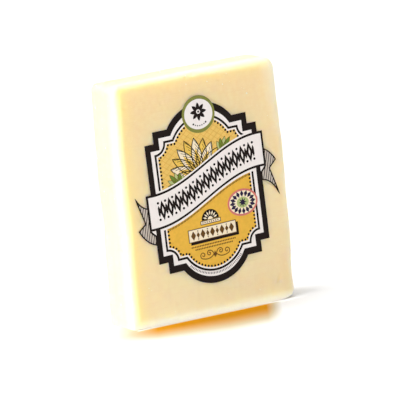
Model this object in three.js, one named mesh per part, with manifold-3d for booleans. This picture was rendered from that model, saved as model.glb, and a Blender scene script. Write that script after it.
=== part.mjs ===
// A half-pound block of cheddar standing on its short edge, with a die-cut paper label on its front.
// Millimetres, +Z up. The front faces -Y, and the origin is the middle of the footprint on the table.
import * as THREE from 'three';
import { mergeVertices } from 'three/addons/utils/BufferGeometryUtils.js';
import Module from 'manifold-3d';

const wasm = await Module();
wasm.setup();

// Driving sizes of the cheese
const blockWidth = 84.2;
const heightToWidth = 1.286;
const blockDepth = 23.7;
const edgeRadius = 2.5;
const cornerRadius = 3.2;
const unevenness = 0.8;
const topFall = 1.4;
const wornCornerWidth = 11.5;
const wornCornerHeight = 7;

// Driving sizes of the label, in the label's own plane, from the middle of its plaque
const labelThickness = 0.25;
const labelTilt = THREE.MathUtils.degToRad(2.05);
const labelBelowMiddle = 0.08;
const plaqueHalfWidth = 28.45;
const plaqueHalfHeight = 26.3;
const stepIn = 4.6;
const stepUp = 5.15;
const archHalfWidth = 16.54;
const archRadius = 20;
const medallionRadius = 8.25;
const medallionHeight = 35.1;
const ribbonHalfLength = 31.05;
const ribbonHalfBreadth = 7.85;
const ribbonMiddle = 5.35;
const ribbonRise = 8.6;
const ribbonWaveHalfLength = 28;

// Each ribbon tail: how far out its points lie, and their heights from the ribbon's centre line at that end
const tailAcross = { join: ribbonHalfLength, upperCurl: 34.4, notch: 32.6, tip: 36.2, lowerCurl: 33.4 };
const leftTail = {
  side: -1,
  height: {
    join: 2.3, upperCurl: 3.6, upperTip: 7.5, notch: -4.1,
    lowerTip: -6.8, lowerCurl: -12.6, plaque: -14.2,
  },
};
const rightTail = {
  side: 1,
  height: {
    join: -0.5, upperCurl: -2.6, upperTip: -6.1, notch: -9.4,
    lowerTip: -21.4, lowerCurl: -14.6, plaque: -13.8,
  },
};

const blockHeight = blockWidth * heightToWidth;
const wholeDepth = blockDepth + labelThickness;
const frontOfCheese = labelThickness - wholeDepth / 2;
const backOfCheese = wholeDepth / 2;
const cheeseCurveSteps = 6;
const labelCurveSteps = 16;

const colours = { cheese: 0xf0d6a6, label: 0xe8b84a };

// Heights, as shares of the block's, where the left side bulges, dents and bulges again
const upperBulge = 0.72;
const dent = 0.4;
const lowerBulge = 0.2;

// The front outline of the cheese: a tall rectangle whose sides bow a little and whose top falls to the left,
// flat at the bottom, with three tight corners and one that is worn round at the bottom right.
function cheeseOutline() {
  const left = -blockWidth / 2;
  const right = blockWidth / 2;
  const cornerX = right - unevenness - cornerRadius;
  const rightCornerZ = blockHeight - cornerRadius;
  const leftCornerZ = blockHeight - topFall - cornerRadius;
  const outline = new THREE.Shape();
  outline.moveTo(-cornerX, 0);
  outline.lineTo(right - wornCornerWidth, 0);
  outline.quadraticCurveTo(right, 0, right, wornCornerHeight);
  outline.quadraticCurveTo(right, blockHeight / 2, cornerX + cornerRadius, rightCornerZ);
  outline.absarc(cornerX, rightCornerZ, cornerRadius, 0, Math.PI / 2, false);
  outline.quadraticCurveTo(0, blockHeight - topFall / 8, -cornerX, leftCornerZ + cornerRadius);
  outline.absarc(-cornerX, leftCornerZ, cornerRadius, Math.PI / 2, Math.PI, false);
  outline.splineThru([
    new THREE.Vector2(left, blockHeight * upperBulge),
    new THREE.Vector2(left + unevenness, blockHeight * dent),
    new THREE.Vector2(left, blockHeight * lowerBulge),
    new THREE.Vector2(left + unevenness, cornerRadius),
  ]);
  outline.absarc(-cornerX, cornerRadius, cornerRadius, Math.PI, 1.5 * Math.PI, false);
  return outline;
}

// The cheese is that outline, carried through the block's depth with its long edges rounded over.
function cheeseGeometry() {
  const geometry = new THREE.ExtrudeGeometry(cheeseOutline(), {
    depth: blockDepth - 2 * edgeRadius,
    bevelEnabled: true,
    bevelThickness: edgeRadius,
    bevelSize: edgeRadius,
    bevelOffset: -edgeRadius,
    bevelSegments: 4,
    curveSegments: cheeseCurveSteps,
  });
  geometry.rotateX(Math.PI / 2);
  geometry.translate(0, backOfCheese - edgeRadius, 0);
  return geometry;
}

// The plaque is a rectangle with a step at each corner and a low arch over its top and bottom.
function plaqueShape() {
  const archFoot = plaqueHalfHeight + stepUp;
  const archCentre = archFoot - Math.sqrt(archRadius ** 2 - archHalfWidth ** 2);
  const archStart = Math.atan2(archFoot - archCentre, archHalfWidth);
  const shape = new THREE.Shape();
  shape.moveTo(plaqueHalfWidth, -plaqueHalfHeight);
  shape.lineTo(plaqueHalfWidth, plaqueHalfHeight);
  shape.lineTo(plaqueHalfWidth - stepIn, plaqueHalfHeight);
  shape.lineTo(plaqueHalfWidth - stepIn, archFoot);
  shape.lineTo(archHalfWidth, archFoot);
  shape.absarc(0, archCentre, archRadius, archStart, Math.PI - archStart, false);
  shape.lineTo(stepIn - plaqueHalfWidth, archFoot);
  shape.lineTo(stepIn - plaqueHalfWidth, plaqueHalfHeight);
  shape.lineTo(-plaqueHalfWidth, plaqueHalfHeight);
  shape.lineTo(-plaqueHalfWidth, -plaqueHalfHeight);
  shape.lineTo(stepIn - plaqueHalfWidth, -plaqueHalfHeight);
  shape.lineTo(stepIn - plaqueHalfWidth, -archFoot);
  shape.lineTo(-archHalfWidth, -archFoot);
  shape.absarc(0, -archCentre, archRadius, archStart - Math.PI, -archStart, false);
  shape.lineTo(plaqueHalfWidth - stepIn, -archFoot);
  shape.lineTo(plaqueHalfWidth - stepIn, -plaqueHalfHeight);
  return shape;
}

function medallionShape() {
  const shape = new THREE.Shape();
  shape.absarc(0, medallionHeight, medallionRadius, 0, 2 * Math.PI, false);
  return shape;
}

// Height of the ribbon's centre line: half a wave that climbs to the right and levels off at each end.
function ribbonHeight(x) {
  const along = THREE.MathUtils.clamp(x / ribbonWaveHalfLength, -1, 1);
  return ribbonMiddle + ribbonRise * Math.sin(along * Math.PI / 2);
}

function ribbonShape() {
  const upper = [];
  const lower = [];
  for (let i = 0; i <= 2 * labelCurveSteps; i += 1) {
    const x = ribbonHalfLength * (i / labelCurveSteps - 1);
    upper.push(new THREE.Vector2(x, ribbonHeight(x) + ribbonHalfBreadth));
    lower.unshift(new THREE.Vector2(x, ribbonHeight(x) - ribbonHalfBreadth));
  }
  return new THREE.Shape([...upper, ...lower]);
}

// A tail comes out from behind the ribbon's end, opens into a swallow-tail notch and runs back to the plaque.
function tailShape({ side, height }) {
  const root = ribbonHeight(side * ribbonHalfLength);
  const at = (across, above) => [side * across, root + above];
  const shape = new THREE.Shape();
  shape.moveTo(...at(plaqueHalfWidth, height.join));
  shape.lineTo(...at(tailAcross.join, height.join));
  shape.quadraticCurveTo(...at(tailAcross.upperCurl, height.upperCurl), ...at(tailAcross.tip, height.upperTip));
  shape.lineTo(...at(tailAcross.notch, height.notch));
  shape.lineTo(...at(tailAcross.tip, height.lowerTip));
  shape.quadraticCurveTo(...at(tailAcross.lowerCurl, height.lowerCurl), ...at(plaqueHalfWidth, height.plaque));
  return shape;
}

function manifoldOf(geometry) {
  const bare = geometry.clone();
  bare.deleteAttribute('normal');
  bare.deleteAttribute('uv');
  const merged = mergeVertices(bare, 1e-5);
  return new wasm.Manifold(new wasm.Mesh({
    numProp: 3,
    vertProperties: new Float32Array(merged.attributes.position.array),
    triVerts: new Uint32Array(merged.index.array),
  }));
}

function geometryOf(manifold) {
  const mesh = manifold.getMesh();
  const geometry = new THREE.BufferGeometry();
  geometry.setAttribute('position', new THREE.BufferAttribute(mesh.vertProperties, 3));
  geometry.setIndex(new THREE.BufferAttribute(mesh.triVerts, 1));
  geometry.computeVertexNormals();
  return geometry;
}

// The label is one piece of paper, cut round the plaque, the medallion, the ribbon and its tails.
function labelGeometry() {
  const shapes = [plaqueShape(), medallionShape(), ribbonShape(), tailShape(leftTail), tailShape(rightTail)];
  const paper = { depth: labelThickness, bevelEnabled: false, curveSegments: labelCurveSteps };
  const solids = shapes.map((shape) => manifoldOf(new THREE.ExtrudeGeometry(shape, paper)));
  const joined = solids.reduce((whole, solid) => whole.add(solid));
  const geometry = geometryOf(joined);
  geometry.rotateX(Math.PI / 2);
  return geometry;
}

function part(name, geometry, colour, roughness) {
  const material = new THREE.MeshStandardMaterial({ color: colour, roughness, metalness: 0 });
  const mesh = new THREE.Mesh(geometry, material);
  mesh.name = name;
  return mesh;
}

const cheese = part('cheese_block', cheeseGeometry(), colours.cheese, 0.5);

const label = part('label', labelGeometry(), colours.label, 0.6);
label.rotation.y = -labelTilt;
label.position.set(0, frontOfCheese, blockHeight / 2 - labelBelowMiddle);

const group = new THREE.Group();
group.add(cheese, label);
export default group;
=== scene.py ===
"""A half-pound block of pale cheddar with a die-cut paper label on its front, standing on a white table."""

import math

import bpy
import numpy as np
from mathutils import Matrix, Vector, noise
from mathutils.geometry import delaunay_2d_cdt


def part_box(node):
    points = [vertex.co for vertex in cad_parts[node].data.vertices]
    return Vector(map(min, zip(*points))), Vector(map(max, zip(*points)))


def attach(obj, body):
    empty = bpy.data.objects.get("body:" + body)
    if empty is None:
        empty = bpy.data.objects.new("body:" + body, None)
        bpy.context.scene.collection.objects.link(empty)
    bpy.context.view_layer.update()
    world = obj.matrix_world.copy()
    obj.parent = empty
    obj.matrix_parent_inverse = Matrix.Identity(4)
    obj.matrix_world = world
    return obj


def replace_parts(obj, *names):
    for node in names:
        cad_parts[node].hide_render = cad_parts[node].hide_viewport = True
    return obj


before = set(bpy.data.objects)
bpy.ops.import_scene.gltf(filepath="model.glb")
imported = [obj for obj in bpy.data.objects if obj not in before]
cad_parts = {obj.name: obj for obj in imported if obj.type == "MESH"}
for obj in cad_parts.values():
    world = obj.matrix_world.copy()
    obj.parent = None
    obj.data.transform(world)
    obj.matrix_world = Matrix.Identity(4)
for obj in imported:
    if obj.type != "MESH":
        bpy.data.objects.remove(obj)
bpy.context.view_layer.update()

MM = 0.001
SEED = 11

# Sizes taken from the frame
block_low, block_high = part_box("cheese_block")
block_half = Vector(((block_high.x - block_low.x) / 2, (block_high.y - block_low.y) / 2, block_high.z / 2))
block_middle = (block_low + block_high) / 2
front = block_low.y

# The cheese's shape: lengths in metres, and heights on its sides as shares of the block's
MESH_STEP = 0.6 * MM
EDGE_RADIUS = 3.5 * MM
EDGE_SPREAD = 0.2
EDGE_SPREAD_SIZE = 18 * MM
SHARP_ANGLE = math.radians(60)
SOFT_CORNER = 1.8 * MM
FRONT_FACING = 0.6
UNEVENNESS = 0.8 * MM
LEAN_START = 0.72
DENT = 0.55 * MM
DENT_MIDDLE = 0.41
DENT_SPREAD = 0.09
TOP_FALL = 1.4 * MM
TOP_FALL_CURVE = 1.6
WORN_WIDTH = 11.5 * MM
WORN_HEIGHT = 7 * MM
WORN_REACH = 17 * MM
FRONT_WAVE = 0.08 * MM
FINE_WAVE_SIZE = (9.3 * MM, 14.7 * MM)
BROAD_WAVE_SIZE = (21 * MM, 17 * MM)
BROAD_WAVE_SHARE = 0.6
SIDE_WAVE = 0.3 * MM
SIDE_WAVE_SIZE = 26 * MM

# Pits and crystals: lengths in metres, and a pit's depth and a crystal's sinking as shares of their size
PIT_COUNT = 150
PIT_RADIUS = (0.5 * MM, 1.5 * MM)
PIT_STRETCH = (0.6, 1.4)
PIT_DEPTH = (0.1, 0.4)
PIT_STEEPNESS = 2.5
PIT_LOWEST = 3 * MM
CRYSTAL_COUNT = 300
CRYSTAL_SMALLEST = 0.14 * MM
CRYSTAL_SPREAD = 0.5 * MM
CRYSTAL_STRETCH = (0.7, 1.2)
CRYSTAL_SUNK = 0.55
CRYSTAL_LOWEST = 1 * MM

# The cheese's colours, from 0 to 255. Its foot and its top each have two, mixed in broad patches; the top's
# are darker, as painted shade.
FOOT_COLOURS = ((248, 226, 182), (245, 222, 176))
SHADED_TOP_COLOURS = ((245, 220, 169), (243, 216, 163))
CURD_COLOUR = (248, 229, 185)
STREAK_COLOUR = (241, 214, 165)
WIRE_COLOUR = (240, 211, 160)
# Painted glow: the yellow by the left and top edges
EDGE_GLOW_COLOUR = (243, 225, 161)
# Painted light: the pale colour by the front's edges
RIM_LIGHT_COLOUR = (253, 247, 236)
# How the painted shade rises from the foot to the top
TOP_SHADE_RISE = (5 * MM, 100 * MM)
CRYSTAL_COLOURS = ((255, 250, 236), (250, 238, 208))

# Painted light and painted glow as bands of colour inside the front's edges: how far in each ends, how far
# in it is full, and its strength
RIM_LIGHT_RIGHT = (5 * MM, 0, 0.5)
RIM_LIGHT_LEFT = (3.5 * MM, 0, 0.5)
RIM_LIGHT_TOP = (3.5 * MM, 0.5 * MM, 0.45)
RIM_LIGHT_FOOT = (5 * MM, 0, 0.5)
EDGE_GLOW_LEFT = (10 * MM, 3 * MM)
EDGE_GLOW_TOP = (10 * MM, 3 * MM, 0.5)
BANDS_DEPTH = (9 * MM, 3 * MM)

# The painted light's pale wedge down the upper right edge: how far it lies from the block's right at the
# top, the direction across it, and where it starts, where it is full, and its strength
WEDGE_INSET = 8 * MM
WEDGE_ACROSS = (0.986, 0, 0.164)
WEDGE = (-4 * MM, 6 * MM, 0.7)

# How far up from the bottom the cheese turns from dense to letting light through
DENSE_FOOT = (-1 * MM, 2 * MM)

# The label, in millimetres from the middle of its plaque, x to the right and z up
LABEL_MIDDLE = (0, -0.08)
LABEL_TILT = math.radians(2.05)
PLAQUE_HALF = (28.45, 26.3)
STEP = (4.6, 5.15)
ARCH_CENTRE = 20.2
ARCH_RADIUS = 20.0
BORDER = (2.65, 3.1)
LINE_HALF_WIDTH = 23.7
LINE_SHOULDER = 26.2
LINE_NOTCH = 5.15
LINE_ARCH_CENTRE = 17.8
LINE_ARCH_RADIUS = 16.5
LINE_WIDTH = 0.95
GOLD_INSET = 1.2
DOT_INSET = 1.7
DOT_PITCH = 1.66
DOT_RADIUS = 0.54
RIBBON_MIDDLE = 5.35
RIBBON_RISE = 8.6
RIBBON_WAVE = 28.0
RIBBON_HALF_LENGTH = 31.05
RIBBON_HALF_BREADTH = 7.85
RIBBON_EDGE = 1.0
MEDALLION_MIDDLE = (0, 35.1)
MEDALLION_RADIUS = 8.25
MEDALLION_WHITE = (7.1, 6.65)
TAILS_PAST_PLAQUE = 8
PAPER = 0.1
INK = 0.02
LONGEST_EDGE = 2.5

# Directions in the frame
UP = (0, 0, 1)
DOWN = (0, 0, -1)
RIGHT = (1, 0, 0)
LEFT = (-1, 0, 0)
BACK = (0, 1, 0)


def linear(red, green, blue):
    """A colour given as 0 to 255 sRGB, as Blender's linear colour."""
    channels = [c / 255 for c in (red, green, blue)]
    return [c / 12.92 if c <= 0.04045 else ((c + 0.055) / 1.055) ** 2.4 for c in channels] + [1]


def grey(brightness):
    return (brightness, brightness, brightness, 1)


# Materials

class Graph:
    """The nodes of a material or of the world, with a short way to add each common kind."""

    def __init__(self, owner):
        owner.use_nodes = True
        self.nodes = owner.node_tree.nodes
        self.links = owner.node_tree.links

    def feed(self, node, inputs):
        """Fills a node's inputs, by name or number, each with a plain value or another node's output."""
        for name, value in inputs.items():
            if isinstance(value, bpy.types.NodeSocket):
                self.links.new(value, node.inputs[name])
            else:
                node.inputs[name].default_value = value

    def source(self, kind, output):
        """An output of a new node that takes nothing in."""
        return self.nodes.new(kind).outputs[output]

    def noise(self, place, scale, detail=3.0, stretch=(1, 1, 1)):
        """Noise of about 1/scale metres."""
        mapping = self.nodes.new("ShaderNodeMapping")
        self.feed(mapping, {"Vector": place, "Scale": stretch})
        texture = self.nodes.new("ShaderNodeTexNoise")
        self.feed(texture, {"Vector": mapping.outputs["Vector"], "Scale": scale, "Detail": detail})
        return texture.outputs["Fac"]

    def mix(self, share, first, second):
        """The mix of two colours by a share."""
        node = self.nodes.new("ShaderNodeMix")
        node.data_type = "RGBA"
        self.feed(node, {"Factor": share, "A": first, "B": second})
        return node.outputs["Result"]

    def ramp(self, value, low, high, top=1.0, bottom=0.0, eased=False):
        """Stretches a value so that low becomes the bottom and high the top, with soft ends if eased."""
        node = self.nodes.new("ShaderNodeMapRange")
        node.interpolation_type = "SMOOTHSTEP" if eased else "LINEAR"
        self.feed(node, {"Value": value, "From Min": low, "From Max": high, "To Min": bottom, "To Max": top})
        return node.outputs["Result"]

    def bump(self, height, distance, strength, normal=None):
        """The surface's direction, roughened by a height."""
        node = self.nodes.new("ShaderNodeBump")
        self.feed(node, {"Height": height, "Distance": distance, "Strength": strength})
        if normal is not None:
            self.links.new(normal, node.inputs["Normal"])
        return node.outputs["Normal"]

    def along(self, place, start, toward):
        """How far a place lies from a start along a direction."""
        shifted = self.nodes.new("ShaderNodeVectorMath")
        shifted.operation = "SUBTRACT"
        self.feed(shifted, {0: place, 1: start})
        dot = self.nodes.new("ShaderNodeVectorMath")
        dot.operation = "DOT_PRODUCT"
        self.feed(dot, {0: shifted.outputs[0], 1: toward})
        return dot.outputs["Value"]

    def combined(self, operation, first, *others):
        """One number from several, joined by a maths operation such as MULTIPLY or MAXIMUM."""
        for other in others:
            node = self.nodes.new("ShaderNodeMath")
            node.operation = operation
            self.feed(node, {0: first, 1: other})
            first = node.outputs[0]
        return first


def new_material(name):
    """A material, its graph, its shader node and the place of each of its points, in metres."""
    material = bpy.data.materials.new(name)
    graph = Graph(material)
    return material, graph, graph.nodes["Principled BSDF"], graph.source("ShaderNodeTexCoord", "Object")


def painted_rim_light(graph, place):
    """How much painted light a place near the front gets, as paleness: a wedge at the upper right, and a
    band by each edge.
    """
    wedge = graph.along(place, (block_high.x - WEDGE_INSET, 0, block_high.z), WEDGE_ACROSS)
    from_right = graph.along(place, block_high, LEFT)
    from_left = graph.along(place, block_low, RIGHT)
    from_top = graph.along(place, block_high, DOWN)
    height = graph.along(place, block_low, UP)
    rim_light_share = graph.combined(
        "MAXIMUM",
        graph.ramp(wedge, *WEDGE),
        graph.ramp(from_right, *RIM_LIGHT_RIGHT),
        graph.ramp(from_left, *RIM_LIGHT_LEFT),
        graph.ramp(from_top, *RIM_LIGHT_TOP),
        graph.ramp(height, *RIM_LIGHT_FOOT, eased=True),
    )
    return near_front(graph, place, rim_light_share)


def painted_edge_glow(graph, place):
    """How much painted glow a place near the front gets, as yellow: bands by the left and top edges, as if
    lit from within.
    """
    from_left = graph.along(place, block_low, RIGHT)
    from_top = graph.along(place, block_high, DOWN)
    bands = (graph.ramp(from_left, *EDGE_GLOW_LEFT), graph.ramp(from_top, *EDGE_GLOW_TOP))
    return near_front(graph, place, graph.combined("MAXIMUM", *bands))


def near_front(graph, place, share):
    """The share, faded out towards the back."""
    depth = graph.along(place, block_low, BACK)
    return graph.combined("MULTIPLY", share, graph.ramp(depth, *BANDS_DEPTH))


def cheese_material():
    """Pale cheddar: faint paler curds, drag lines from the cutting wire, and light that passes through. Its
    colour also holds painted shade towards the top, painted glow by the left and top edges and painted light
    by the front's edges.
    """
    material, graph, shader, place = new_material("cheddar")
    broad = graph.ramp(graph.noise(place, scale=60), 0.35, 0.65)
    curds = graph.ramp(graph.noise(place, scale=420, detail=5), 0.4, 0.8, top=0.6)
    streaks = graph.ramp(graph.noise(place, scale=260, stretch=(1, 1, 0.12)), 0.5, 0.8, top=0.5)
    wire = graph.noise(place, scale=90, detail=2, stretch=(0.35, 1, 14))
    wire_lines = graph.ramp(wire, 0.6, 0.75, top=0.45)
    height = graph.along(place, block_low, UP)
    at_foot, shaded_top = [
        graph.mix(broad, linear(*first), linear(*second)) for first, second in (FOOT_COLOURS, SHADED_TOP_COLOURS)
    ]
    # Painted shade: darker towards the top
    colour = graph.mix(graph.ramp(height, *TOP_SHADE_RISE), at_foot, shaded_top)
    colour = graph.mix(curds, colour, linear(*CURD_COLOUR))
    colour = graph.mix(streaks, colour, linear(*STREAK_COLOUR))
    colour = graph.mix(wire_lines, colour, linear(*WIRE_COLOUR))
    # Painted glow: yellower by the left and top edges
    colour = graph.mix(painted_edge_glow(graph, place), colour, linear(*EDGE_GLOW_COLOUR))
    # Painted light: paler by the front's edges and in a wedge at the upper right
    colour = graph.mix(painted_rim_light(graph, place), colour, linear(*RIM_LIGHT_COLOUR))
    grain = graph.noise(place, scale=1800, detail=4)
    dragged = graph.bump(wire, distance=0.2 * MM, strength=0.4)
    graph.feed(shader, {
        "Base Color": colour,
        "Roughness": graph.ramp(graph.noise(place, scale=150), 0.2, 0.8, top=0.52, bottom=0.36),
        "Normal": graph.bump(grain, distance=0.06 * MM, strength=0.3, normal=dragged),
        "Subsurface Weight": graph.ramp(height, *DENSE_FOOT),
        "Subsurface Radius": (0.9, 0.76, 0.3),
        "Subsurface Scale": 6 * MM,
    })
    shader.inputs["IOR"].default_value = 1.45
    return material


def crystal_material():
    """The pale, hard specks that grow in aged cheddar."""
    material, graph, shader, place = new_material("crystal")
    graph.feed(shader, {
        "Base Color": graph.mix(graph.noise(place, scale=900), *[linear(*c) for c in CRYSTAL_COLOURS]),
        "Roughness": 0.35,
        "Subsurface Weight": 0.5,
        "Subsurface Scale": 1 * MM,
    })
    return material


def ink_material(name, colour, roughness, spread):
    """Print on label paper: a slightly uneven colour, with the paper's fibres showing in the gloss."""
    material, graph, shader, place = new_material(name)
    share = graph.ramp(graph.noise(place, scale=700, detail=4), 0.3, 0.7)
    base = linear(*colour)
    deeper = [c * (1 - spread) for c in base[:3]] + [1]
    fibres = graph.noise(place, scale=2600, stretch=(1, 1, 0.4))
    graph.feed(shader, {
        "Base Color": graph.mix(share, base, deeper),
        "Roughness": roughness,
        "Normal": graph.bump(fibres, distance=0.02 * MM, strength=0.25),
    })
    shader.inputs["Specular IOR Level"].default_value = 0.08
    return material


# The cheese

def box_surface(cells):
    """Points from -1 to 1 and quads of a box's surface: an even grid whose faces share their edges."""
    axes = [np.arange(n + 1) for n in cells]
    grid = np.stack(np.meshgrid(*axes, indexing="ij"), -1)
    outside = ((grid == 0) | (grid == np.array(cells))).any(-1)
    index = np.cumsum(outside.ravel()).reshape(outside.shape) - 1
    points = grid[outside] / np.array(cells) * 2 - 1
    quads = []
    for axis in range(3):
        for end in (0, cells[axis]):
            sheet = np.take(index, end, axis=axis)
            loop = [sheet[:-1, :-1], sheet[1:, :-1], sheet[1:, 1:], sheet[:-1, 1:]]
            if (end > 0) == (axis == 1):
                loop.reverse()
            quads.append(np.stack(loop, -1).reshape(-1, 4))
    return points, np.concatenate(quads)


def smooth(value):
    """0 below 0, 1 above 1, and a smooth step between."""
    value = np.clip(value, 0, 1)
    return value * value * (3 - 2 * value)


def front_wave(x, z):
    """How far the nearly flat front stands out or in at a place, in metres."""
    fine = np.sin(x / FINE_WAVE_SIZE[0] + 1.1) * np.cos(z / FINE_WAVE_SIZE[1])
    broad = np.sin(x / BROAD_WAVE_SIZE[0] - z / BROAD_WAVE_SIZE[1] + 0.4)
    return FRONT_WAVE * (fine + BROAD_WAVE_SHARE * broad)


def noise_at(points, size, octaves=2):
    """Smooth noise from about -1 to 1, of the given size in metres, at each point."""
    return np.array([noise.fractal(Vector(p) / size, 1, 2, octaves) for p in points.tolist()])


def bowed_sides(points):
    """Moves the sides in as on the cut block: the left is dented, the right leans in, the top falls left."""
    x, y, z = points.T
    up = z / (2 * block_half.z)
    across = (x / block_half.x + 1) / 2
    left = UNEVENNESS * smooth((up - LEAN_START) / (1 - LEAN_START))
    left += DENT * np.exp(-(((up - DENT_MIDDLE) / DENT_SPREAD) ** 2))
    right = UNEVENNESS * up**3
    top = TOP_FALL * np.clip(1 - across, 0, 1) ** TOP_FALL_CURVE
    return np.stack([x + left * (1 - across) - right * across, y, z - top * up**4], -1)


def worn_corner(points):
    """Lifts the bottom at its right end, where the corner is worn round."""
    x, y, z = points.T
    along = np.clip((x - block_half.x + WORN_WIDTH) / WORN_WIDTH, 0, 1)
    lift = WORN_HEIGHT * (1 - np.sqrt(1 - along)) ** 2 * (1 - np.clip(z / WORN_REACH, 0, 1)) ** 2
    return np.stack([x, y, z + lift], -1)


def under_label(points, outward, margin):
    """Whether each front point lies under the label or nearer to it than the margin, in millimetres."""
    across = points[:, 0] / MM - LABEL_MIDDLE[0]
    up = points[:, 2] / MM - block_middle.z / MM - LABEL_MIDDLE[1]
    tails = PLAQUE_HALF[0] + TAILS_PAST_PLAQUE
    body = (abs(across) < tails + margin) & (abs(up) < PLAQUE_HALF[1] + margin)
    medallion_top = MEDALLION_MIDDLE[1] + MEDALLION_RADIUS
    return (outward[:, 1] < -0.5) & (body | (np.hypot(across, up) < medallion_top + margin))


def pits(points, outward, rng):
    """Small mechanical openings between the curds, as shallow round dents."""
    depth = np.zeros(len(points))
    free = np.flatnonzero((points[:, 2] > PIT_LOWEST) & ~under_label(points, outward, margin=1))
    for _ in range(PIT_COUNT):
        middle = points[rng.choice(free)]
        radius = rng.uniform(*PIT_RADIUS)
        stretch = np.array([rng.uniform(*PIT_STRETCH), 1, rng.uniform(*PIT_STRETCH)])
        distance = np.linalg.norm((points - middle) * stretch, axis=1) / radius
        depth += rng.uniform(*PIT_DEPTH) * radius * np.exp(-PIT_STEEPNESS * distance**2)
    return points - outward * depth[:, None]


def cheese_shape():
    """The block's points and quads, and each point's outward direction.

    Its bottom edge is crisp, and its front's right edge is softer towards the top and the bottom.
    """
    cells = [round(2 * half / MESH_STEP) for half in block_half]
    unit, quads = box_surface(cells)
    half = np.array(block_half)
    flat = unit * half
    waist, near, far = -0.1, 0.3, 0.8
    towards_ends = smooth((abs(unit[:, 2] - waist) - near) / (far - near))
    soft = smooth(unit[:, 0]) * (1 - unit[:, 1]) / 2 * towards_ends
    radius = (EDGE_RADIUS + SOFT_CORNER * soft) * (1 + EDGE_SPREAD * noise_at(flat, EDGE_SPREAD_SIZE))
    radius = radius[:, None]
    core = np.clip(flat, radius - half, half - radius)
    core[:, 2] = np.where(unit[:, 2] < 0, flat[:, 2], core[:, 2])
    away = flat - core
    reach = abs(away).max(axis=1)[:, None]
    away /= np.maximum(np.linalg.norm(away, axis=1), 1e-9)[:, None]
    points = core + away * reach + np.array([0, block_middle.y, block_half.z])
    outward = np.where(np.any(away, axis=1)[:, None], away, DOWN)
    facing_front = smooth((-outward[:, 1] - FRONT_FACING) / (1 - FRONT_FACING))
    waves = SIDE_WAVE * noise_at(points, SIDE_WAVE_SIZE) * (1 - facing_front)
    waves += front_wave(points[:, 0], points[:, 2]) * facing_front
    points = points + outward * waves[:, None]
    points = worn_corner(bowed_sides(points))
    return points, quads, outward


def mesh_object(name, points, faces, material, smooth_shading=True):
    mesh = bpy.data.meshes.new(name)
    mesh.from_pydata([tuple(p) for p in points], [], [tuple(f) for f in faces])
    mesh.validate()
    mesh.polygons.foreach_set("use_smooth", [smooth_shading] * len(mesh.polygons))
    mesh.materials.append(material)
    obj = bpy.data.objects.new(name, mesh)
    bpy.context.scene.collection.objects.link(obj)
    return obj


def make_cheese():
    rng = np.random.default_rng(SEED)
    points, quads, outward = cheese_shape()
    points = pits(points, outward, rng)
    points[:, 2] = np.maximum(points[:, 2], 0)
    cheese = mesh_object("cheddar_block", points, quads.tolist(), cheese_material())
    cheese.data.set_sharp_from_angle(angle=SHARP_ANGLE)
    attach(cheese, "root")
    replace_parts(cheese, "cheese_block")
    return points, outward


def make_crystals(points, outward):
    """Pale specks, each a small uneven lump set into the surface, joined as one piece."""
    rng = np.random.default_rng(SEED + 1)
    free = np.flatnonzero((points[:, 2] > CRYSTAL_LOWEST) & ~under_label(points, outward, margin=0.5))
    ball, faces = lump()
    all_points, all_faces = [], []
    for _ in range(CRYSTAL_COUNT):
        at = rng.choice(free)
        width = (CRYSTAL_SMALLEST + CRYSTAL_SPREAD * rng.uniform() ** 3) * rng.uniform(*CRYSTAL_STRETCH, 3)
        uneven = ball * width * rng.uniform(0.8, 1.2, (len(ball), 1))
        shape = uneven + points[at] - outward[at] * CRYSTAL_SUNK * width.mean()
        all_faces += [[i + len(all_points) for i in f] for f in faces]
        all_points += shape.tolist()
    crystals = mesh_object("cheddar_crystals", all_points, all_faces, crystal_material())
    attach(crystals, "root")


def lump(rings=4, around=8):
    """A unit ball of a few bands, as points and faces."""
    points = [DOWN]
    for ring in range(1, rings):
        height, girth = -math.cos(math.pi * ring / rings), math.sin(math.pi * ring / rings)
        points += [(x, y, height) for x, y in disc((0, 0), girth, around)]
    points.append(UP)
    last = len(points) - 1
    faces = []
    for i in range(around):
        beside = (i + 1) % around
        faces.append((0, 1 + beside, 1 + i))
        faces.append((last, last - around + i, last - around + beside))
        for ring in range(rings - 2):
            low, high = 1 + ring * around, 1 + (ring + 1) * around
            faces.append((low + i, low + beside, high + beside, high + i))
    return np.array(points), faces


# Outlines and lines on the label, each a list of points

def arc(centre, radius, start, end, steps=24):
    """Points along an arc, with its ends, between two angles in degrees."""
    angles = np.radians(np.linspace(start, end, steps + 1))
    return [(centre[0] + radius * math.cos(a), centre[1] + radius * math.sin(a)) for a in angles]


def disc(centre, radius, steps=48):
    return arc(centre, radius, 0, 360, steps)[:-1]


def oval(centre, half_width, half_height, steps=64):
    return [(centre[0] + half_width * x, centre[1] + half_height * z) for x, z in disc((0, 0), 1, steps)]


def box(left, right, low, high, inset=0):
    """A rectangle, drawn in by the inset on every side."""
    left, right, low, high = left + inset, right - inset, low + inset, high - inset
    return [(left, low), (right, low), (right, high), (left, high)]


def lozenge(centre, half_width, half_height, turn=0.0):
    return turned([(half_width, 0), (0, half_height), (-half_width, 0), (0, -half_height)], centre, turn)


def spindle(centre, half_width, half_height, turn=0.0, shoulder=0.55):
    """A tall bar with a point at each end; the points start at the shoulder, a share of its height."""
    z = shoulder * half_height
    points = [(half_width, -z), (half_width, z), (0, half_height), (-half_width, z), (-half_width, -z)]
    return turned(points + [(0, -half_height)], centre, turn)


def turned(points, centre, turn):
    """Points about the origin, turned by an angle in radians and moved to a centre."""
    c, s = math.cos(turn), math.sin(turn)
    return [(centre[0] + x * c - z * s, centre[1] + x * s + z * c) for x, z in points]


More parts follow.
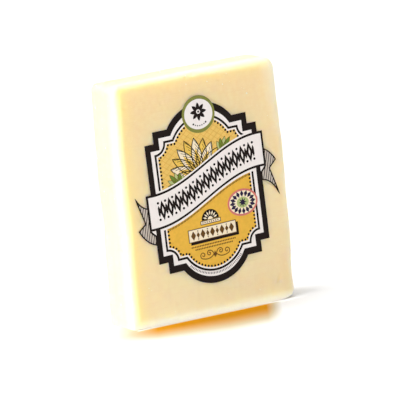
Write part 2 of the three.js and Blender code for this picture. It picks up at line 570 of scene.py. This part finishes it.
def leaf(base, length, half_width, turn, steps=8):
    """A pointed leaf that starts at its base and runs out at an angle."""
    along = np.linspace(0, 1, steps + 1)
    edge = half_width * np.sin(np.pi * along) ** 0.8
    lower = list(zip(along * length, -edge))
    upper = list(zip(along * length, edge))
    return turned(lower + upper[-2:0:-1], base, turn)


def curve(start, control, end, steps=10):
    """Points along a quadratic curve, with its ends."""
    t = np.linspace(0, 1, steps + 1)[:, None]
    points = (1 - t) ** 2 * np.array(start) + 2 * t * (1 - t) * np.array(control) + t**2 * np.array(end)
    return [tuple(p) for p in points]


def spiral(centre, radius, start, turns, left_over=0.15, steps=32):
    """A line that winds in from an angle in degrees until a share of its radius is left over."""
    angles = np.radians(np.linspace(start, start + 360 * turns, steps + 1))
    reaches = radius * np.linspace(1, left_over, steps + 1)
    return [(centre[0] + r * math.cos(a), centre[1] + r * math.sin(a)) for r, a in zip(reaches, angles)]


def four_ways(corner):
    """A closed outline from its upper right quarter, mirrored left and down."""
    right_up = list(corner)
    left_up = [(-x, z) for x, z in reversed(right_up)]
    left_down = [(-x, -z) for x, z in right_up]
    right_down = [(x, -z) for x, z in reversed(right_up)]
    loop = right_up + left_up + left_down + right_down
    return [p for i, p in enumerate(loop) if math.dist(p, loop[i - 1]) > 1e-6]


def plaque_outline(side, top):
    """The stepped outline with a low arch above and below, this far inside the label's sides and top."""
    half_width, half_height = PLAQUE_HALF[0] - side, PLAQUE_HALF[1] - top
    foot = half_height + STEP[1]
    radius = ARCH_RADIUS - side
    centre = (0, ARCH_CENTRE + side - top)
    start = math.degrees(math.asin((foot - centre[1]) / radius))
    corner = [(half_width, half_height), (half_width - STEP[0], half_height), (half_width - STEP[0], foot)]
    return four_ways(corner + arc(centre, radius, start, 90))


def line_outline(inset):
    """The outline with a round notch in each corner, this far inside the thin black line."""
    notch_radius = LINE_NOTCH + inset
    tilt = math.degrees(math.asin(inset / notch_radius))
    notch = arc((LINE_HALF_WIDTH, LINE_SHOULDER), notch_radius, 270 - tilt, 180 + tilt, 10)
    radius = LINE_ARCH_RADIUS - inset
    start = math.degrees(math.asin((LINE_SHOULDER - inset - LINE_ARCH_CENTRE) / radius))
    return four_ways(notch + arc((0, LINE_ARCH_CENTRE), radius, start, 90))


def dense(path, closed=True):
    """The same path with points added on its long stretches, so that it can follow the cheese."""
    points = []
    for a, b in zip(path, path[1:] + path[:1] if closed else path[1:]):
        count = math.ceil(math.dist(a, b) / LONGEST_EDGE)
        shares = [i / count for i in range(count)]
        points += [(a[0] + (b[0] - a[0]) * t, a[1] + (b[1] - a[1]) * t) for t in shares]
    return points if closed else points + [path[-1]]


def along_outline(outline, pitch):
    """Evenly spaced places round a closed outline, about this far apart."""
    loop = np.array(outline + outline[:1])
    lengths = np.concatenate([[0], np.cumsum(np.linalg.norm(np.diff(loop, axis=0), axis=1))])
    count = round(lengths[-1] / pitch)
    places = (np.arange(count) + 0.5) * lengths[-1] / count
    return list(zip(np.interp(places, lengths, loop[:, 0]), np.interp(places, lengths, loop[:, 1])))


def inside(outline):
    """Points of a grid that lie inside a closed outline, so that a large face can follow the cheese."""
    edge = np.array(outline)
    steps = [np.arange(a + LONGEST_EDGE / 2, b, LONGEST_EDGE) for a, b in zip(edge.min(0), edge.max(0))]
    grid = np.stack(np.meshgrid(*steps), -1).reshape(-1, 2)
    within = np.zeros(len(grid), bool)
    for a, b in zip(edge, np.roll(edge, -1, 0)):
        if a[1] != b[1]:
            crosses = (a[1] > grid[:, 1]) != (b[1] > grid[:, 1])
            within ^= crosses & (grid[:, 0] < a[0] + (grid[:, 1] - a[1]) * (b[0] - a[0]) / (b[1] - a[1]))
    return grid[within].tolist()


# Flat shapes on the label, each a list of points and a list of faces

def filled(*outlines):
    """The area that one or more closed outlines cover, as triangles."""
    points, loops = [], []
    for outline in outlines:
        edge = dense(outline)
        loops.append(list(range(len(points), len(points) + len(edge))))
        points += [Vector(p) for p in edge]
    for outline in outlines:
        points += [Vector(p) for p in inside(outline)]
    made = delaunay_2d_cdt(points, [], loops, 1, 1e-5)
    return [tuple(p) for p in made[0]], [tuple(f) for f in made[2]]


def stroke(path, width, closed=False):
    """A line of even width along a path, with mitred corners and square ends."""
    line = np.array(dense([tuple(p) for p in path], closed), float)
    before, after = np.roll(line, 1, 0), np.roll(line, -1, 0)
    if not closed:
        before[0], after[-1] = 2 * line[0] - line[1], 2 * line[-1] - line[-2]
    inward = line - before
    onward = after - line
    inward /= np.linalg.norm(inward, axis=1)[:, None]
    onward /= np.linalg.norm(onward, axis=1)[:, None]
    tangent = inward + onward
    tangent /= np.linalg.norm(tangent, axis=1)[:, None]
    side = np.stack([-tangent[:, 1], tangent[:, 0]], -1)
    side *= (width / 2 / np.maximum((tangent * onward).sum(1), 0.4))[:, None]
    count = len(line)
    points = (line + side).tolist() + (line - side).tolist()
    spans = range(count if closed else count - 1)
    faces = [(i + count, (i + 1) % count + count, (i + 1) % count, i) for i in spans]
    return points, faces


def hatch(outline, degrees, pitch, width):
    """Even slanted lines that fill a closed outline, as a list of strokes."""
    angle = math.radians(degrees)
    turn = np.array([[math.cos(angle), math.sin(angle)], [-math.sin(angle), math.cos(angle)]])
    edge = np.array(outline) @ turn.T
    after = np.roll(edge, -1, 0)
    lines = []
    for level in np.arange(edge[:, 1].min() + pitch / 2, edge[:, 1].max(), pitch):
        cuts = sorted(
            a[0] + (level - a[1]) * (b[0] - a[0]) / (b[1] - a[1])
            for a, b in zip(edge, after)
            if (a[1] > level) != (b[1] > level)
        )
        for start, end in zip(cuts[::2], cuts[1::2]):
            if end - start > 2 * width:
                lines.append(stroke(np.array([(start, level), (end, level)]) @ turn, width))
    return lines


# The label

class Ink:
    """Shapes printed in one colour, gathered into one piece of thin closed plates."""

    def __init__(self, name, colour, roughness=0.45, spread=0.06):
        self.name = name
        self.material = ink_material(name, colour, roughness, spread)
        self.points, self.faces = [], []

    def add(self, shape, level, back=0.5):
        """Adds a flat shape as a closed plate whose front lies this many ink layers over the paper."""
        flat, flat_faces = shape
        first, count = len(self.points), len(flat)
        edges = {edge for face in flat_faces for edge in zip(face, face[1:] + face[:1])}
        self.points += [on_cheese(p, PAPER + level * INK) for p in flat]
        self.points += [on_cheese(p, PAPER * back) for p in flat]
        self.faces += [tuple(first + i for i in face) for face in flat_faces]
        self.faces += [tuple(first + count + i for i in reversed(face)) for face in flat_faces]
        for a, b in sorted(edges):
            if (b, a) not in edges:
                self.faces.append((first + b, first + a, first + count + a, first + count + b))

    def fill(self, outline, level):
        """Prints the area inside a closed outline."""
        self.add(filled(outline), level)

    def draw(self, path, width, level, closed=False):
        """Prints a line of even width along a path."""
        self.add(stroke(path, width, closed), level)

    def shade(self, outline, degrees, pitch, width, level):
        """Prints even slanted lines inside a closed outline."""
        for line in hatch(outline, degrees, pitch, width):
            self.add(line, level)

    def finish(self):
        piece = mesh_object(self.name, self.points, self.faces, self.material, smooth_shading=False)
        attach(piece, "root")
        return piece


def on_cheese(place, height):
    """A place on the label, and a height over the cheese in millimetres, as a point in the frame."""
    c, s = math.cos(LABEL_TILT), math.sin(LABEL_TILT)
    x = (LABEL_MIDDLE[0] + place[0] * c - place[1] * s) * MM
    z = (LABEL_MIDDLE[1] + place[0] * s + place[1] * c) * MM + block_half.z
    return (x, front - front_wave(x, z) - height * MM, z)


def ribbon_height(x):
    return RIBBON_MIDDLE + RIBBON_RISE * math.sin(max(-1, min(1, x / RIBBON_WAVE)) * math.pi / 2)


def ribbon_slope(x):
    """The ribbon's angle there, in radians."""
    return math.atan(ribbon_height(x + 0.5) - ribbon_height(x - 0.5))


def ribbon_band(half_length, above=0.0, below=0.0, steps=48):
    """The ribbon's outline, grown by these amounts over and under it."""
    across = np.linspace(-half_length, half_length, steps + 1)
    upper = [(x, ribbon_height(x) + RIBBON_HALF_BREADTH + above) for x in across]
    lower = [(x, ribbon_height(x) - RIBBON_HALF_BREADTH - below) for x in across]
    return lower + upper[::-1]


# Each ribbon tail: how far out its points lie, and their heights from the ribbon's centre line at that end
TAIL_ACROSS = {
    "plaque": PLAQUE_HALF[0], "join": RIBBON_HALF_LENGTH, "upper_curl": 34.4,
    "tip": 36.2, "notch": 32.6, "lower_curl": 33.4,
}
LEFT_TAIL = {
    "join": 2.3, "upper_curl": 3.6, "upper_tip": 7.5, "notch": -4.1,
    "lower_tip": -6.8, "lower_curl": -12.6, "plaque": -14.2,
}
RIGHT_TAIL = {
    "join": -0.5, "upper_curl": -2.6, "upper_tip": -6.1, "notch": -9.4,
    "lower_tip": -21.4, "lower_curl": -14.6, "plaque": -13.8,
}


def tail_outline(side, heights):
    """A swallow-tail that comes out from behind the ribbon's end and runs back to the plaque."""
    root = ribbon_height(side * RIBBON_HALF_LENGTH)

    def at(across, height):
        return (side * TAIL_ACROSS[across], root + heights[height])

    upper = curve(at("join", "join"), at("upper_curl", "upper_curl"), at("tip", "upper_tip"))
    lower = curve(at("tip", "lower_tip"), at("lower_curl", "lower_curl"), at("plaque", "plaque"))
    outline = [at("plaque", "join")] + upper + [at("notch", "notch")] + lower
    return outline if side < 0 else outline[::-1]


def make_label():
    inks = {
        "white": Ink("label_white", (241, 233, 229), spread=0.03),
        "black": Ink("label_black", (32, 22, 19), roughness=0.5, spread=0.2),
        "gold_light": Ink("label_gold_light", (239, 198, 106), spread=0.12),
        "gold_grain": Ink("label_gold_grain", (222, 172, 84)),
        "gold": Ink("label_gold", (237, 185, 72), spread=0.1),
        "green": Ink("label_ring_green", (134, 136, 66), spread=0.12),
        "grey": Ink("label_tail_grey", (200, 188, 176)),
        "cream": Ink("label_cream", (246, 230, 200)),
        "brown": Ink("label_brown", (104, 70, 32)),
        "yellow": Ink("label_yellow", (240, 200, 92), spread=0.12),
        "leaf": Ink("label_leaf_green", (112, 138, 52), spread=0.2),
        "pale_green": Ink("label_pale_green", (186, 196, 128), spread=0.12),
        "red": Ink("label_seal_red", (214, 122, 112)),
        "navy": Ink("label_seal_navy", (52, 42, 68)),
    }
    paper = Ink("label_paper", (238, 233, 226), roughness=0.6)
    tails = [tail_outline(-1, LEFT_TAIL), tail_outline(1, RIGHT_TAIL)]
    medallion = disc(MEDALLION_MIDDLE, MEDALLION_RADIUS)
    paper.add(filled(plaque_outline(0, 0), medallion, ribbon_band(RIBBON_HALF_LENGTH), *tails), 0, back=0)
    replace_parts(paper.finish(), "label")
    print_plaque(inks)
    print_tails(inks, tails)
    print_palmette(inks)
    print_ribbon(inks)
    print_ornaments(inks)
    print_medallion(inks)
    print_emblem(inks)
    print_plate(inks)
    print_rules(inks)
    print_seal(inks)
    for ink in inks.values():
        ink.finish()


def print_plaque(inks):
    """The black border, the white band with its thin line, the two gold fields and the row of dots."""
    slant, pitch, width = 38, 2.1, 0.22
    inks["black"].fill(plaque_outline(0, 0), 1)
    inks["white"].fill(plaque_outline(*BORDER), 2)
    inks["black"].draw(line_outline(0), LINE_WIDTH, 3, closed=True)
    upper, lower = split_by_ribbon(line_outline(GOLD_INSET))
    inks["gold_light"].fill(upper, 3)
    inks["gold"].fill(lower, 3)
    inks["gold_grain"].shade(upper, slant, pitch, width, 3.3)
    inks["gold_grain"].shade(upper, -slant, pitch, width, 3.6)
    for place in along_outline(line_outline(DOT_INSET), DOT_PITCH):
        inks["black"].fill(disc(place, DOT_RADIUS, 8), 4)


def split_by_ribbon(field):
    """The parts of an outline above and below the ribbon's centre line."""
    half = LINE_HALF_WIDTH - GOLD_INSET
    middle = [(x, ribbon_height(x)) for x in np.linspace(-half, half, 33)]
    upper = [p for p in field if p[1] > ribbon_height(p[0])]
    lower = [p for p in field if p[1] < ribbon_height(p[0])]
    first_low = min(range(len(lower)), key=lambda i: (lower[i][0] > 0, -lower[i][1]))
    lower = lower[first_low:] + lower[:first_low]
    return middle + upper, lower + middle[::-1]


def print_tails(inks, tails):
    """The ribbon's two tails, hatched grey, each with a dark fold and white under the ribbon's end."""
    slant, pitch, hatch_width = 74, 1.2, 0.33
    edge_width, fold_width = 0.55, 0.8
    for side, tail in zip((-1, 1), tails):
        inks["grey"].fill(tail, 2)
        inks["black"].shade(tail, slant, pitch, hatch_width, 3)
        inks["black"].draw(tail, edge_width, 4, closed=True)
        low = ribbon_height(side * RIBBON_HALF_LENGTH) - RIBBON_HALF_BREADTH
        corner = (side * (RIBBON_HALF_LENGTH - 0.3), low)
        inside_x = side * (PLAQUE_HALF[0] - 0.4)
        patch = [corner, (inside_x, low + 0.3), (inside_x, low - 2.4)]
        inks["white"].fill(patch[::-side], 4.5)
        fold = curve(corner, (side * 29.6, low - 1.4), (inside_x, low - 2.7), 6)
        inks["black"].draw(fold, fold_width, 5.5)


def print_ribbon(inks):
    """The ribbon's white halo, its brown shade, its black edge and its white face."""
    halo_half_length, halo_above, halo_below = PLAQUE_HALF[0] - BORDER[0], 0.75, 1.0
    inks["white"].fill(ribbon_band(halo_half_length, halo_above, halo_below), 7)
    inks["black"].fill(ribbon_band(RIBBON_HALF_LENGTH), 8)
    inks["white"].fill(ribbon_band(RIBBON_HALF_LENGTH - RIBBON_EDGE, -RIBBON_EDGE, -RIBBON_EDGE), 9)
    count, pitch, below, width = 55, 0.8, 1.7, 0.36
    for i in range(count):
        x = (i - count // 2) * pitch
        z = ribbon_height(x) - RIBBON_HALF_BREADTH - below
        inks["brown"].draw([(x - 0.25, z - 0.5), (x + 0.25, z + 0.5)], width, 5)


def print_ornaments(inks):
    """The row along the ribbon: lozenges, with a spindle between two dots after each."""
    count, pitch, lean_share, dot_radius, dot_offset = 13, 3.9, 0.6, 0.58, 3.7
    for i in range(2 * count + 1):
        x = (i - count) * pitch / 2
        middle = (x, ribbon_height(x))
        lean = ribbon_slope(x) * lean_share
        if i % 2:
            inks["black"].fill(lozenge(middle, 1.75, 4.5, lean), 10)
            inks["white"].fill(lozenge(middle, 0.45, 1.9, lean), 11)
        else:
            inks["black"].fill(spindle(middle, 0.5, 2.6, lean), 10)
            for place in turned([(0, -dot_offset), (0, dot_offset)], middle, lean):
                inks["black"].fill(disc(place, dot_radius, 10), 10)


def print_medallion(inks):
    """A green ring round a white disc that holds a rosette of petals over a row of small marks."""
    petals, petal_length, petal_half_width, rosette_rise = 8, 4.1, 0.85, 1.1
    marks, mark_radius, mark_size, end_mark_size = 7, 5.1, 0.36, 0.5
    inks["green"].fill(disc(MEDALLION_MIDDLE, MEDALLION_RADIUS), 8)
    inks["white"].fill(oval(MEDALLION_MIDDLE, *MEDALLION_WHITE), 9)
    centre = (MEDALLION_MIDDLE[0], MEDALLION_MIDDLE[1] + rosette_rise)
    for i in range(petals):
        inks["black"].fill(leaf(centre, petal_length, petal_half_width, 2 * math.pi * i / petals), 10)
    inks["white"].fill(disc(centre, 1.0, 16), 11)
    inks["black"].fill(disc(centre, 0.5, 12), 12)
    for i, place in enumerate(arc(MEDALLION_MIDDLE, mark_radius, 232, 308, marks - 1)):
        size = end_mark_size if i in (0, marks - 1) else mark_size
        inks["black"].fill(lozenge(place, size, size), 10)


def print_palmette(inks):
    """A palmette of yellow and cream petals that rises behind the ribbon, between two sprigs of leaves."""
    foot = (-2.6, 8.6)
    petals, first_turn, spread = 9, 36, 150
    longest, shortening, half_width, steps = 17.2, 2.6, 2.5, 12
    for i in range(petals):
        aside = abs(i - petals // 2) / (petals // 2)
        degrees = first_turn + spread * (i + 0.5) / petals
        turn = math.radians(degrees)
        length = longest - shortening * aside
        petal = leaf(foot, length, half_width, turn, steps)
        level = 4 + 0.25 * (i % 2)
        inks["cream" if i % 2 else "yellow"].fill(petal, level)
        inks["black"].draw(petal, 0.4, level + 0.6, closed=True)
        inks["black"].shade(petal[:steps + 1], degrees + 32, 0.9, 0.22, level + 0.5)
        if i % 2:
            inks["yellow"].fill(leaf(foot, 0.72 * length, 1.5, turn), level + 0.2)
    print_sprig(inks, (-13.4, 5.6), 128, 21)
    print_sprig(inks, (9.6, 16.6), 50, -21)


def print_sprig(inks, base, lean, apart):
    """Leaves that fan out from a base; the middle one's lean and the angle between two are in degrees."""
    leaves, longest, shortening, half_width = 7, 7.4, 0.7, 1.05
    for i in range(leaves):
        aside = i - leaves // 2
        blade = leaf(base, longest - shortening * abs(aside), half_width, math.radians(lean + apart * aside))
        inks["leaf" if i % 2 else "pale_green"].fill(blade, 5.2 + 0.15 * (i % 2))
        inks["brown"].draw(blade, 0.2, 5.5, closed=True)


def print_emblem(inks):
    """A small rising sun over the plate: a dark half disc with cream rays over a cream band with marks."""
    middle, radius, sun_radius, rays_at = (-0.3, -11.7), 4.4, 1.3, 2.8
    band, rim, marks_at = (-5.5, 4.9, -13.6, -11.8), 0.3, -12.7
    inks["black"].fill(arc(middle, radius, 0, 180), 4.2)
    for degrees in range(18, 180, 24):
        ray = arc(middle, rays_at, degrees, degrees, 1)[0]
        inks["cream"].fill(lozenge(ray, 1.1, 0.38, math.radians(degrees)), 5.2)
    inks["cream"].fill(arc(middle, sun_radius, 0, 180, 12), 5.2)
    inks["black"].fill(box(*band), 4.4)
    inks["cream"].fill(box(*band, rim), 5.4)
    for x in np.arange(-4.3, 4.0, 1.1):
        inks["brown"].fill(lozenge((x, marks_at), 0.34, 0.42), 6.4)


def print_plate(inks):
    """A cream plate with a drop shadow and a row of lozenges."""
    left, right, low, high = -12.4, 12.3, -20.3, -14.5
    aside, down, rim = 0.95, 1.1, 0.35
    inks["black"].fill(box(left + aside, right + aside, low - down, high - down), 4.8)
    inks["brown"].fill(box(left, right, low, high), 5.8)
    inks["cream"].fill(box(left, right, low, high, rim), 6.8)
    count, pitch, width_share, dot_offset = 9, 2.45, 0.6, 1.8
    z = (low + high) / 2
    for i in range(count):
        x = (left + right) / 2 + (i - count // 2) * pitch
        half_height = 1.4 if i % 2 else 2.1
        inks["brown"].fill(lozenge((x, z), half_height * width_share, half_height), 7.8)
        if i % 2:
            for dot_z in (z - dot_offset, z + dot_offset):
                inks["brown"].fill(disc((x, dot_z), 0.3, 8), 7.8)


def print_rules(inks):
    """Two fine rules of small lozenges, a scroll under them, and marks along the bottom white band."""
    for z, half_length in ((-22.5, 11.2), (-23.8, 9.4)):
        for x in np.arange(-half_length, half_length, 0.85):
            inks["brown"].fill(lozenge((x, z), 0.4, 0.45), 4)
    for line in scroll(-1) + scroll(1):
        inks["brown"].draw(line, 0.42, 4)
    inks["brown"].fill(lozenge((0, -27.4), 0.6, 1.6), 5)
    marks, marks_radius, first, last = 37, 17.9, 224, 316
    for degrees in np.linspace(first, last, marks):
        place = arc((0, -LINE_ARCH_CENTRE), marks_radius, degrees, degrees, 1)[0]
        inks["black"].fill(spindle(place, 0.15, 0.6, math.radians(degrees - 90)), 3)


def scroll(side):
    """Half of a flourish: two lines that run out from the middle and each wind up into a spiral."""
    outer = spiral((side * 6.1, -26.9), 1.6, -90, side * 1.25)
    inner = spiral((side * 2.9, -26.5), 1.2, 90, -side * 1.2)
    return [
        curve((side * 0.5, -27.2), (side * 2.6, -29.6), outer[0], 8)[:-1] + outer,
        curve((side * 0.4, -28.2), (side * 1.0, -25.1), inner[0], 8)[:-1] + inner,
    ]


def print_seal(inks):
    """A plain oval seal: a red rim, a ring of navy lozenges, and a navy rosette on pale green."""
    middle, half_width, half_height, rim = (16.9, -7.7), 7.7, 6.0, 0.85
    count, ring_half_width, ring_half_height = 16, 5.2, 3.9
    inks["red"].fill(oval(middle, half_width, half_height), 9.2)
    inks["cream"].fill(oval(middle, half_width - rim, half_height - rim), 9.8)
    inks["pale_green"].fill(oval(middle, 3.1, 2.4, 32), 10.4)
    for i, place in enumerate(oval(middle, ring_half_width, ring_half_height, count)):
        turn = 2 * math.pi * i / count + math.pi / 2
        inks["navy"].fill(lozenge(place, 0.9, 1.5, turn), 10.6)
    for i in range(4):
        inks["navy"].fill(lozenge(middle, 0.6, 2.3, i * math.pi / 4), 11.2)


# The stage

# The camera: the photo in pixels, the sensor in millimetres, distances in metres and angles in degrees
PHOTO_SIDE = 400
FOCAL_PIXELS = 3314
SENSOR = 36
CAMERA_DISTANCE = 1.457
CAMERA_AZIMUTH = -30.07
CAMERA_ELEVATION = 9.99
CAMERA_ROLL = -5.29
CAMERA_CLIP = (0.1, 20)
MIDDLE_IN_PHOTO = (193.9, 189.8)

# How bright the room is before the block and behind it, how bright its backdrop looks to the camera,
# and where the one brightness turns into the other, as the share of a direction that points backward
ROOM_IN_FRONT = 0.255
ROOM_BEHIND = 0.5
SEEN_BACKDROP = 1.05
ROOM_TURN = (-0.3, 0.4)

# The table's half length and its greys. From this far behind the block, what it throws back is dark.
TABLE_HALF = 4
TABLE_GREYS = (0.75, 0.73)
TABLE_DARK = 0.28
TABLE_DARK_FROM = 30 * MM

# A painted warm shadow on the table before the block's foot, tinted as by light through the cheese. Towards
# the camera it fades in over GLOW_START, or at once left of GLOW_CORNER, is full at GLOW_FULL and has faded
# out at GLOW_REACH. To the right it widens over GLOW_WIDENING, fades in over GLOW_LEFT and fades out over
# GLOW_RIGHT.
GLOW_START = (0, 3 * MM)
GLOW_CORNER = (-39 * MM, -42 * MM)
GLOW_FULL = 8 * MM
GLOW_REACH = 55 * MM
GLOW_WIDENING = (-105 * MM, 5 * MM)
GLOW_LEFT = (-57 * MM, -31 * MM)
GLOW_RIGHT = (32.5 * MM, 24.5 * MM)
WARM_SHADOW_COLOUR = (0.55, 0.23, 0.01, 1)
WARM_SHADOW_EDGE_COLOUR = (0.52, 0.445, 0.3, 1)

# The nearer light, and the two strips before the foot: how far before it and how high each strip is,
# which way it shines, its length and breadth, and its power
KEY_PLACE = Vector((-150, -220, 260)) * MM
KEY_SIZE = 120 * MM
KEY_POWER = 0.085
FOOT_STRIP = (9 * MM, 4 * MM, (0, 1, 0.3), (78 * MM, 10 * MM), 0.00045)
TOE_STRIP = (3 * MM, 1.6 * MM, (0, 1, -0.45), (84 * MM, 0.8 * MM), 0.0005)


def direction(azimuth, elevation):
    """The direction towards a place in the sky, in degrees: azimuth 0 is in front and -90 at the left."""
    a, e = math.radians(azimuth), math.radians(elevation)
    return Vector((math.sin(a) * math.cos(e), -math.cos(a) * math.cos(e), math.sin(e)))


def make_camera():
    """The camera, aimed so that the block's middle falls where it does in the photo."""
    back = direction(CAMERA_AZIMUTH, CAMERA_ELEVATION)
    level = Vector(UP).cross(back).normalized()
    upright = back.cross(level)
    roll = math.radians(CAMERA_ROLL)
    right = level * math.cos(roll) + upright * math.sin(roll)
    up = upright * math.cos(roll) - level * math.sin(roll)
    per_pixel = CAMERA_DISTANCE / FOCAL_PIXELS
    aside = (PHOTO_SIDE / 2 - MIDDLE_IN_PHOTO[0]) * per_pixel
    below = (PHOTO_SIDE / 2 - MIDDLE_IN_PHOTO[1]) * per_pixel
    data = bpy.data.cameras.new("camera")
    data.sensor_width = SENSOR
    data.lens = FOCAL_PIXELS / PHOTO_SIDE * SENSOR
    data.clip_start, data.clip_end = CAMERA_CLIP
    camera = bpy.data.objects.new("camera", data)
    turn = Matrix((right, up, back)).transposed().to_4x4()
    place = Vector((0, 0, block_half.z)) + back * CAMERA_DISTANCE + right * aside - up * below
    camera.matrix_world = Matrix.Translation(place) @ turn
    bpy.context.scene.collection.objects.link(camera)
    bpy.context.scene.camera = camera


def painted_warm_shadow(graph, place):
    """A painted warm shadow on the table, tinted as by light that has come through the cheese: a slanted
    strip before its foot.
    """
    slant = math.radians(CAMERA_AZIMUTH)
    foot = (0, front, 0)
    ahead = graph.along(place, foot, (0, -1 / math.cos(slant), 0))
    across = graph.along(place, foot, (1, math.tan(slant), 0))
    widened = graph.combined("DIVIDE", ahead, graph.ramp(across, *GLOW_WIDENING))
    return graph.combined(
        "MULTIPLY",
        graph.ramp(widened, GLOW_REACH, GLOW_FULL, eased=True),
        graph.combined("MAXIMUM", graph.ramp(ahead, *GLOW_START), graph.ramp(across, *GLOW_CORNER)),
        graph.ramp(ahead, 2 * front, front),
        graph.ramp(across, *GLOW_LEFT),
        graph.ramp(across, *GLOW_RIGHT),
        graph.source("ShaderNodeLightPath", "Is Camera Ray"),
    )


def make_floor():
    """A white table that throws back less light behind the block, with a painted warm shadow before its
    foot.
    """
    material, graph, shader, place = new_material("white_table")
    white = graph.mix(graph.noise(place, scale=3), *[grey(brightness) for brightness in TABLE_GREYS])
    behind = graph.ramp(graph.along(place, block_high, BACK), 0, TABLE_DARK_FROM)
    thrown_back = graph.source("ShaderNodeLightPath", "Is Diffuse Ray")
    white = graph.mix(graph.combined("MULTIPLY", behind, thrown_back), white, grey(TABLE_DARK))
    # Painted warm shadow before the block's foot, tinted as by light through the cheese
    shadow_share = painted_warm_shadow(graph, place)
    colour = graph.mix(graph.ramp(shadow_share, 0, 0.5), white, WARM_SHADOW_EDGE_COLOUR)
    colour = graph.mix(graph.ramp(shadow_share, 0.5, 1), colour, WARM_SHADOW_COLOUR)
    graph.feed(shader, {"Base Color": colour, "Roughness": 0.7})
    shader.inputs["Specular IOR Level"].default_value = 0
    corners = [(x, z, 0) for x, z in box(-TABLE_HALF, TABLE_HALF, -TABLE_HALF, TABLE_HALF)]
    floor = mesh_object("table", corners, [(0, 1, 2, 3)], material, smooth_shading=False)


def add_light(data, place, back):
    """Puts a light at a place, with its back turned to a direction."""
    light = bpy.data.objects.new(data.name, data)
    light.location = place
    light.rotation_euler = back.to_track_quat("Z", "Y").to_euler()
    bpy.context.scene.collection.objects.link(light)
    return light


def add_sun(name, azimuth, elevation, softness, strength):
    """A broad, even light from one direction; softness is the angle it fills, in degrees."""
    data = bpy.data.lights.new(name, "SUN")
    data.energy = strength
    data.angle = math.radians(softness)
    back = direction(azimuth, elevation)
    add_light(data, back, back)


def add_panel(name, place, back, size, power):
    """A glowing rectangle that the camera doesn't see."""
    data = bpy.data.lights.new(name, "AREA")
    data.shape = "RECTANGLE"
    data.energy = power
    data.size, data.size_y = size
    add_light(data, place, back).visible_camera = False


def make_lights():
    """Three suns, two strips for the light off the white table, and a nearer light at the front left.

    The nearer light makes the front a little darker towards its lower right.
    """
    add_sun("overhead", azimuth=-120, elevation=78, softness=45, strength=1.9)
    add_sun("side", azimuth=-104, elevation=28, softness=70, strength=4.2)
    add_sun("fill", azimuth=95, elevation=72, softness=60, strength=1)
    for name, strip in (("foot", FOOT_STRIP), ("toe", TOE_STRIP)):
        ahead, height, aim, size, power = strip
        add_panel(name, (0, front - ahead, height), -Vector(aim), size, power)
    middle = Vector((0, 0, block_half.z))
    add_panel("key", KEY_PLACE, KEY_PLACE - middle, (KEY_SIZE, KEY_SIZE), KEY_POWER)


def make_world():
    """A white room that is brighter behind the block than before it. The camera sees it as pure white."""
    world = bpy.data.worlds.new("surround")
    graph = Graph(world)
    backward = graph.along(graph.source("ShaderNodeTexCoord", "Generated"), (0, 0, 0), BACK)
    room = graph.nodes["Background"]
    brightness = graph.ramp(backward, *ROOM_TURN, top=ROOM_BEHIND, bottom=ROOM_IN_FRONT, eased=True)
    graph.feed(room, {"Color": grey(1), "Strength": brightness})
    seen = graph.nodes.new("ShaderNodeBackground")
    graph.feed(seen, {"Color": grey(1), "Strength": SEEN_BACKDROP})
    mix = graph.nodes.new("ShaderNodeMixShader")
    by_camera = graph.source("ShaderNodeLightPath", "Is Camera Ray")
    graph.feed(mix, {0: by_camera, 1: room.outputs["Background"], 2: seen.outputs["Background"]})
    graph.feed(graph.nodes["World Output"], {"Surface": mix.outputs["Shader"]})
    bpy.context.scene.world = world


bpy.context.scene.view_settings.view_transform = "Standard"
make_camera()
make_world()
make_lights()
make_floor()
cheese_points, cheese_outward = make_cheese()
make_crystals(cheese_points, cheese_outward)
make_label()
